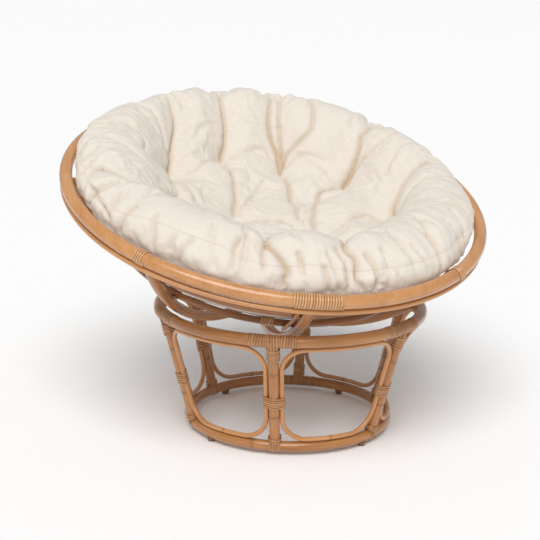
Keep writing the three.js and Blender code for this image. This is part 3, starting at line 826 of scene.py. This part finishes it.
def smooth_curve(at, knots, values):
    """A smooth curve through the values at their knots."""
    slopes = np.gradient(values, knots, axis=0)
    i = np.clip(np.searchsorted(knots, at, side="right") - 1, 0, len(knots) - 2)
    gap = (knots[i + 1] - knots[i])[..., None]
    t = ((at - knots[i])[..., None]) / gap
    return ((2 * t ** 3 - 3 * t ** 2 + 1) * values[i] + (t ** 3 - 2 * t ** 2 + t) * gap * slopes[i]
            + (3 * t ** 2 - 2 * t ** 3) * values[i + 1] + (t ** 3 - t ** 2) * gap * slopes[i + 1])


def cushion_skin(azimuth, run):
    """The filled cushion without its folds, in the bowl's own frame: azimuth in degrees and the
    distance along the cloth from the middle of the top."""
    outline = smooth_curve(run, OUTLINE_RUNS, CUSHION_OUTLINE)
    turned = np.radians(azimuth)
    share = np.maximum(outline[..., 1], 0) / ROLL_HEIGHT
    x = outline[..., 0] * np.sin(turned) + math.sin(ROLL_LEAN_TURN) * ROLL_LEAN * share
    y = -outline[..., 0] * np.cos(turned) - math.cos(ROLL_LEAN_TURN) * ROLL_LEAN * share
    z = outline[..., 1] + ROLL_LIFT * share * np.maximum(np.cos(turned - ROLL_LIFT_TURN), 0)
    return np.stack([x, y, z], -1)


# Tufts: azimuth, distance along the cloth (mm), depth and reach (mm).
TUFTS = (
    (-129.8, 275, 20, 20), (-172.5, 261, 20, 20), (149.1, 213, 24, 22), (106.9, 253, 24, 22),
    (56.7, 295, 26, 22), (8, 262, 24, 24), (-32.7, 265, 24, 24), (-77.7, 265, 22, 22),
    (-75.9, 118, 24, 26), (13, 153, 24, 26),
)
# Folds: depth at the start and at the end, reach across (mm), and the points that they run
# through. The eight that part the roll also draw in the cloth more widely.
ROLL_FOLDS = (
    (20, 10, 8, ((-129.8, 275), (-135.9, 290), (-148.6, 334), (-155.8, 374), (-159.1, 417),
        (-162.3, 465), (-163, 500))),
    (20, 12, 8, ((-172.5, 261), (-177.9, 301), (-180.7, 336), (-182.2, 388), (-183.4, 435),
        (-184.5, 490), (-185, 540))),
    (22, 12, 8, ((149.1, 213), (149.9, 233), (153.7, 287), (156.7, 320), (157.5, 357),
        (156.8, 408), (156, 470), (156, 530))),
    (22, 12, 9, ((106.9, 253), (108.8, 265), (111.4, 308), (112.9, 362), (115.1, 404),
        (114.9, 432), (115.9, 491), (116, 540))),
    (22, 12, 9, ((56.7, 295), (69.6, 308), (76.8, 350), (79.8, 399), (81.6, 433), (84.7, 488),
        (86, 540))),
    (22, 20, 9, ((8, 262), (5, 320), (2, 380), (-2, 437), (-3.1, 495), (-1.7, 514), (-2.3, 537),
        (-3.2, 559), (-1.3, 588), (-1, 620))),
    (22, 20, 9, ((-32.7, 265), (-31, 320), (-29, 380), (-28, 437), (-26.4, 491), (-24.4, 510),
        (-22.6, 533), (-22, 546), (-23, 573), (-22.5, 598), (-22, 630))),
    (20, 12, 9, ((-77.7, 265), (-79, 330), (-80, 400), (-82, 427), (-89, 470), (-95, 507),
        (-97, 545))),
)
SIDE_FOLDS = (
    (14, 5, 10, ((-129.8, 275), (-115.5, 354), (-125.2, 369), (-127.7, 404), (-128.9, 463))),
    (8, 8, 7, ((-163.5, 405), (-164.8, 428), (-165.2, 455), (-166, 480))),
    (14, 12, 6, ((149.3, 240), (152.2, 316), (153, 359), (152.7, 417), (153.2, 460),
        (153.5, 500))),
    (14, 12, 8, ((149.1, 240), (148.8, 270), (142.5, 313), (137.6, 347), (137.4, 390),
        (139.5, 442), (143, 490), (144, 520))),
    (13, 8, 8, ((108, 262), (109.2, 280), (108.8, 326), (105.7, 376), (103.6, 426), (104.9, 487))),
    (10, 6, 9, ((60, 300), (64, 340), (68, 380), (70, 430), (71, 480))),
    (9, 5, 8, ((-77, 275), (-71, 330), (-66, 390), (-62, 440))),
    (8, 6, 9, ((-100, 330), (-104, 380), (-110, 430), (-113, 480))),
    (8, 5, 9, ((-140, 300), (-143, 350), (-146, 400), (-147, 440))),
    (8, 6, 9, ((88, 330), (92, 380), (95, 430), (97, 480))),
    (8, 5, 9, ((44, 310), (42, 360), (42, 410), (43, 450))),
    (8, 5, 9, ((28, 330), (26, 380), (25, 420))),
)
INNER_FOLDS = (
    (13, 7, 9, ((-129.8, 275), (-128.2, 271), (-106.5, 224), (-92.4, 203), (-84, 180))),
    (9, 4, 10, ((-130.2, 265), (-132.8, 218), (-130.2, 159), (-128, 130))),
    (15, 16, 8, ((-172.5, 261), (-171.6, 247), (-161.8, 164), (-132.8, 107), (-93.2, 106),
        (-75.9, 118))),
    (10, 8, 9, ((-172, 262), (-157.1, 244), (-140.3, 240), (-131.2, 267))),
    (8, 6, 10, ((-176.5, 262), (-190.3, 269), (-199.2, 280), (-208, 235))),
    (15, 14, 8, ((149.1, 213), (146.6, 197), (124.7, 94), (81.8, 65), (31.7, 86), (15, 140))),
    (8, 6, 10, ((147.4, 235), (142.4, 270), (129.7, 261), (114, 256))),
    (8, 6, 12, ((-79.3, 98), (-149.8, 65), (-195.5, 139), (-208, 200))),
    (15, 15, 8, ((106.9, 253), (107.5, 204), (106.1, 169), (91.1, 129), (51.5, 109), (14.8, 147))),
    (9, 4, 8, ((105.7, 257), (93.6, 235), (81.6, 218), (72, 205))),
    (14, 9, 8, ((56.5, 289), (63.4, 251), (51.1, 204), (29.5, 180), (14, 158))),
    (16, 14, 8, ((-75.9, 118), (-60.5, 96), (-41, 77), (-12.1, 67), (6, 100), (13, 150))),
    (10, 8, 9, ((-76, 122), (-79, 180), (-78, 255))),
    (11, 9, 9, ((13, 156), (11, 200), (8, 258))),
    (9, 7, 9, ((-74, 120), (-58, 170), (-38, 225), (-33, 262))),
    (9, 7, 9, ((12, 155), (-6, 190), (-24, 225), (-32, 262))),
    (9, 6, 9, ((-93.9, 260), (-91, 300), (-87.1, 334))),
    (8, 8, 9, ((-77.7, 262), (-100, 262), (-126, 272))),
    (8, 8, 9, ((57, 290), (34, 285), (10, 265))),
    (8, 8, 9, ((8, 260), (-12, 258), (-30, 262))),
    (8, 8, 9, ((-34, 262), (-55, 262), (-76, 262))),
)
# Pleats where the outer cloth is gathered into the seam. The photographed ones come first.
SEAM_PLEATS = [
    (15, 9, 6, ((-35.2, 487), (-36.6, 522), (-36.2, 546), (-37.3, 575))),
    (11, 9, 6, ((-47.5, 525), (-49.5, 554), (-51.4, 600))),
    (10, 7, 5, ((-52.6, 530), (-54.1, 575))),
    (15, 9, 6, ((-67.8, 505), (-69.6, 556), (-71.1, 600))),
    (10, 8, 6, ((-88.9, 551), (-80.6, 553), (-73.6, 580))),
    (15, 9, 6, ((-18.8, 500), (-18.3, 530), (-18.1, 560))),
    (13, 12, 6, ((-12.2, 530), (-11.7, 557), (-11.9, 600))),
    (12, 9, 7, ((32.2, 440), (27.8, 499), (28, 540))),
    (11, 10, 6, ((15.2, 470), (14.9, 512), (15, 560))),
    (12, 9, 7, ((48.1, 455), (52.1, 521), (53, 570))),
    (14, 13, 5, ((-6.5, 480), (-5.6, 530), (-6.5, 600))),
    (14, 13, 5, ((1.8, 500), (2.6, 545), (2.2, 600))),
    (13, 12, 5, ((-27.5, 470), (-28.5, 520), (-27.6, 560))),
]
pleat_dice = np.random.default_rng(7)
odd_middles = (-85, -77, -60, -43, -34, -9, 8, 20, 24, 37, 43)
for middle in np.concatenate([np.arange(60, 281, 7.5), odd_middles]):
    middle = middle + pleat_dice.uniform(-2.5, 2.5)
    reach = pleat_dice.uniform(35, 75)
    drift = pleat_dice.uniform(-2.5, 2.5)
    pleat = [pleat_dice.uniform(*span) for span in ((7, 12), (6, 11), (5, 7.5))]
    SEAM_PLEATS.append((*pleat, (
        (middle - drift, 540 - reach), (middle, 540),
        (middle + drift, 540 + pleat_dice.uniform(35, 80)))))
# the seam: azimuth and distance along the cloth (mm)
SEAM_RUN = np.array([
    (-180, 541), (-120, 539), (-90, 544), (-70.5, 542), (-62.8, 528), (-55.7, 523), (-39.8, 523),
    (-34.5, 533), (-29.4, 540), (-24.5, 539), (-15.8, 531), (-5.5, 541), (1.6, 544), (10, 543),
    (23.5, 545), (38.4, 550), (70, 542), (110, 538), (150, 543), (180, 541)])

CUSHION_SIDES = 360
CUSHION_ROWS = 104
TOP_ROWS = 80
TOP_REACH = 0.680


def cloth_place(ball):
    """Azimuth and distance along the cloth of points on the round ball that the cushion is
    made from."""
    ball = ball / np.maximum(np.linalg.norm(ball, axis=1), 1e-9)[:, None]
    row = np.arccos(np.clip(ball[:, 2], -1, 1)) / math.pi * CUSHION_ROWS
    run = np.interp(row, (0, TOP_ROWS, CUSHION_ROWS), (0, TOP_REACH, OUTLINE_RUNS[-1]))
    return np.degrees(np.arctan2(ball[:, 0], -ball[:, 1])), run


def skin_normals(azimuth, run):
    step = 0.0005
    along = cushion_skin(azimuth, np.minimum(run + step, OUTLINE_RUNS[-1])) - cushion_skin(
        azimuth, np.maximum(run - step, 0))
    round_about = cushion_skin(azimuth + 0.05, run) - cushion_skin(azimuth - 0.05, run)
    out = np.cross(along, round_about)
    out /= np.maximum(np.linalg.norm(out, axis=1), 1e-12)[:, None]
    near_middle = (run < 0.001) | (run > OUTLINE_RUNS[-1] - 0.001)
    out[near_middle] = np.where(run[near_middle, None] < 0.5, (0, 0, 1.0), (0, 0, -1.0))
    return out


def near_fold(skin, points, margin):
    """The points of the skin near a fold, how far they are from it and their share along it."""
    table = np.array(points, float)
    turn_steps, run_steps = np.diff(table, axis=0).T
    lengths = np.concatenate([[0], np.cumsum(np.hypot(run_steps, turn_steps * 5))])
    fine = np.linspace(0, lengths[-1], max(8, int(lengths[-1] / 7)))
    smooth = smooth_curve(fine, lengths, table)
    path = cushion_skin(smooth[:, 0], smooth[:, 1] / 1000)
    low, high = path.min(0) - margin, path.max(0) + margin
    close = np.where(((skin > low) & (skin < high)).all(1))[0]
    distance = np.full(len(close), 9.0)
    share = np.zeros(len(close))
    for i, (corner, step_on) in enumerate(zip(path, np.diff(path, axis=0))):
        away = skin[close] - corner
        t = np.clip(away @ step_on / step_on.dot(step_on), 0, 1)
        gap = np.linalg.norm(away - t[:, None] * step_on, axis=1)
        better = gap < distance
        distance[better] = gap[better]
        share[better] = (i + t[better]) / (len(path) - 1)
    return close, distance, share


def ease(value):
    value = np.clip(value, 0, 1)
    return value * value * (3 - 2 * value)


FOLD_DRAW, FOLD_WIDTH = 0.013, 0.040
TUFT_STRENGTH, TUFT_ROUNDING = 1.25, 0.005
DEEPEST_DRAW = 0.042


def draw_down(skin):
    """How far tufts and roll folds draw the cloth down, wide and soft."""
    drawn = np.zeros(len(skin))
    for *_, points in ROLL_FOLDS:
        close, distance, share = near_fold(skin, points, 0.1)
        drawn[close] += (
            FOLD_DRAW * ease((1 - share) / 0.25) * np.exp(-((distance / FOLD_WIDTH) ** 2)))
    for azimuth, run, depth, reach in TUFTS:
        place = cushion_skin(np.array([azimuth]), np.array([run / 1000]))[0]
        distance = np.linalg.norm(skin - place, axis=1)
        soft = np.sqrt(distance ** 2 + TUFT_ROUNDING ** 2) - TUFT_ROUNDING
        drawn += TUFT_STRENGTH * depth / 1000 * np.exp(-soft / (reach / 1000))
    return DEEPEST_DRAW * np.tanh(drawn / DEEPEST_DRAW)


SOFT_SHARE, SHARP_SHARE, SHARP_WIDTH = 0.55, 0.6, 0.0038


def press_folds(skin, folds, crispness):
    """How far the folds press into the cloth: sharp at the bottom, round at the sides."""
    pressed = np.zeros(len(skin))
    for start_depth, end_depth, reach, points in folds:
        close, distance, share = near_fold(skin, points, 0.05)
        depth = (start_depth + (end_depth - start_depth) * share) / 1000
        depth = depth * ease(share / 0.07 + 0.3) * ease((1 - share) / 0.2)
        soft = np.sqrt(distance ** 2 + crispness ** 2) - crispness
        pressed[close] += depth * (SOFT_SHARE * np.exp(-soft / (reach / 1000))
                                   + SHARP_SHARE * np.exp(-soft / SHARP_WIDTH))
    return pressed


bpy.ops.mesh.primitive_uv_sphere_add(
    segments=CUSHION_SIDES, ring_count=CUSHION_ROWS, radius=0.5, location=(0, 0, 0))
cushion = just_made("tufted_cushion")
ball = read_points(cushion)
mark_points(cushion, "on_ball", *ball.T)
azimuths, runs = cloth_place(ball)
skin = cushion_skin(azimuths, runs)
outwards = skin_normals(azimuths, runs)
drawn = draw_down(skin)
start = skin - outwards * drawn[:, None]
write_points(cushion, start)

# The cloth is filled with air under light pressure, held at the tufts, along the folds of the
# roll and underneath, where it rests in the bowl. It has some slack, so it wrinkles. The usual
# swell of each band of the cloth is taken off again, so the cushion keeps its outline.
FILL_PRESSURE = 4.0
FILL_SLACK = -0.035
FILL_FRAMES = 20
FURTHEST = 0.018
BAND = 0.03
held = cushion.vertex_groups.new(name="held")
hold = np.clip(np.maximum(drawn / 0.03, ease((runs - 0.60) / 0.06)), 0, 1)
hold = np.maximum(hold, ease((0.05 - runs) / 0.03))
for level in range(1, 11):
    chosen = np.where(np.round(hold * 10) == level)[0]
    if len(chosen):
        held.add(chosen.tolist(), level / 10, "REPLACE")
filling = cushion.modifiers.new("filling", "CLOTH")
for name, value in {
    "quality": 4, "mass": 0.3, "tension_stiffness": 25, "compression_stiffness": 25,
    "shear_stiffness": 8, "bending_stiffness": 0.3, "shrink_min": FILL_SLACK,
    "use_pressure": True, "uniform_pressure_force": FILL_PRESSURE,
    "vertex_group_mass": "held", "pin_stiffness": 6.0,
}.items():
    setattr(filling.settings, name, value)
filling.settings.effector_weights.gravity = 0
filling.collision_settings.use_collision = False
filling.point_cache.frame_start, filling.point_cache.frame_end = 1, FILL_FRAMES
for frame_number in range(1, FILL_FRAMES + 1):
    bpy.context.scene.frame_set(frame_number)
swollen = cushion.evaluated_get(bpy.context.evaluated_depsgraph_get()).data
filled = np.empty(len(swollen.vertices) * 3)
swollen.vertices.foreach_get("co", filled)
moved = filled.reshape(-1, 3) - start
swell = (moved * outwards).sum(1)
bands = np.arange(0, OUTLINE_RUNS[-1], BAND)
usual = [np.median(swell[(runs >= low) & (runs < low + BAND)]) for low in bands]
moved -= outwards * (np.interp(runs, bands + BAND / 2, usual) * (1 - hold))[:, None]
length = np.linalg.norm(moved, axis=1)
moved *= (np.minimum(length, FURTHEST) / np.maximum(length, 1e-9) * (1 - hold ** 2))[:, None]
cushion.modifiers.remove(filling)
cushion.vertex_groups.clear()
bpy.context.scene.frame_set(1)
write_points(cushion, start + moved)

pick(cushion)
finer = cushion.modifiers.new("finer_cloth", "SUBSURF")
finer.subdivision_type = "SIMPLE"
finer.levels = finer.render_levels = 1
bpy.ops.object.modifier_apply(modifier="finer_cloth")
rounder = cushion.modifiers.new("rounder_cloth", "SMOOTH")
rounder.factor = 0.5
rounder.iterations = 2
bpy.ops.object.modifier_apply(modifier="rounder_cloth")

points = read_points(cushion)
ball = np.empty(len(points) * 3)
cushion.data.attributes["on_ball"].data.foreach_get("vector", ball)
azimuths, runs = cloth_place(ball.reshape(-1, 3))
skin = cushion_skin(azimuths, runs)
outwards = skin_normals(azimuths, runs)
pressed = press_folds(skin, ROLL_FOLDS, 0.0012)
pressed += press_folds(skin, SIDE_FOLDS + INNER_FOLDS, 0.0018)
pressed += press_folds(skin, SEAM_PLEATS, 0.0022)
rolling = np.array([noise.noise(Vector(p) * 12) for p in skin])
creasing = np.array([noise.noise(Vector((
    math.sin(math.radians(a)) * 18, math.cos(math.radians(a)) * 18, r * 10)))
    for a, r in zip(azimuths, runs)])
crinkling = np.array([noise.noise(Vector(p) * 42) for p in skin])
outer = ease((runs - 0.34) / 0.1) * ease((0.68 - runs) / 0.06)
ROLLING, CREASING, CRINKLING = 0.003, 0.005, 0.0009
relief = (ROLLING * rolling + CREASING * (0.35 - np.abs(creasing)) * outer
          + CRINKLING * crinkling)
DEEPEST = 0.03
BULGE, BULGE_RUN, BULGE_WIDTH = 0.006, 0.555, 0.045
SEAM_DRAW, SEAM_WIDTH = 0.002, 6
sunk = DEEPEST * np.tanh(pressed / DEEPEST)
seam_gap = runs * 1000 - np.interp(azimuths, *SEAM_RUN.T)
seam_draw = SEAM_DRAW * np.exp(-np.abs(seam_gap) / SEAM_WIDTH)
bulge = BULGE * np.exp(-(((runs - BULGE_RUN) / BULGE_WIDTH) ** 2))
shaped = points + outwards * (relief + bulge - sunk - seam_draw)[:, None]
bowl_turn = np.array(Matrix.Rotation(BOWL_TILT, 3, "X"))
write_points(cushion, shaped @ bowl_turn.T + np.array(BOWL_MIDDLE))
cushion.data.attributes.remove(cushion.data.attributes["on_ball"])
flat_reach = np.minimum(runs, 1.08 - runs)
turned = np.radians(azimuths)
mark_points(cushion, "cloth", flat_reach * np.sin(turned), flat_reach * np.cos(turned),
            seam_gap / 1000)
# painted shade: how deep each fold is pressed, which tints the canvas darker in the folds
mark_points(cushion, "fold_shade", np.clip(sunk / 0.018, 0, 1) ** 2)
close_up(cushion)


def cotton_canvas(name):
    """Unbleached cotton canvas, plain woven: matt, cream, with a soft nap and slubs in the yarn,
    and painted shade, darker and warmer, down in the folds. Yarns are 0.6 mm apart, drawn at 1.8 mm
    to show."""
    material, shader = new_material(name)
    place = wire(material, "TexCoord", "Object", {})
    cut = wire(material, "Attribute", "Vector", {}, attribute_name="cloth")
    slubs = stretched_noise(material, cut, (260, 30, 0), 3.0)
    cross_slubs = stretched_noise(material, cut, (30, 260, 0), 3.0)
    mottle = spread(material, mix_values(material, 0.5, slubs, cross_slubs), 0.25, 0.75)
    yarn = mix_colours(material, mottle, linear("#DAD1C5"), linear("#E5DDD2"))
    # painted shade in the folds: the deeper the fold, the more the yarn colour turns to a darker
    # warm tan
    depth = wire(material, "Attribute", "Fac", {}, attribute_name="fold_shade")
    deepened = wire(material, "Math", 0, {0: depth, 1: 0.7}, operation="MULTIPLY")
    fold_shaded = mix_colours(material, deepened, yarn, linear("#BFA27C"))
    stitches = spread(material, off_line(material, cut, "Z"), 0.0006, 0.002, 0.35, 0)
    warp, weft = (wire(material, "TexWave", "Fac", {
        "Vector": cut, "Scale": 88.0, "Distortion": 0.6, "Detail": 1.0},
        bands_direction=axis) for axis in "XY")
    woven = bumped(material, 0.14, 0.0004, mix_values(material, 0.5, warp, weft))
    creases = wire(material, "TexNoise", "Fac", {
        "Vector": place, "Scale": 34.0, "Detail": 5.0, "Roughness": 0.55})
    feed(material, shader, {
        "Base Color": mix_colours(material, stitches, fold_shaded, linear("#C9B18C")),
        "Normal": bumped(material, 0.3, 0.004, creases, Normal=woven),
        "Roughness": 0.92, "IOR": 1.46, "Specular IOR Level": 0.25,
        "Sheen Weight": 0.25, "Sheen Roughness": 0.5})
    return material


unbleached_cotton = cotton_canvas("unbleached_cotton_canvas")
pick(cushion)
bpy.ops.object.shade_smooth()
cushion.data.materials.clear()
cushion.data.materials.append(unbleached_cotton)
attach(cushion, "cushion")
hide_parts("cushion")
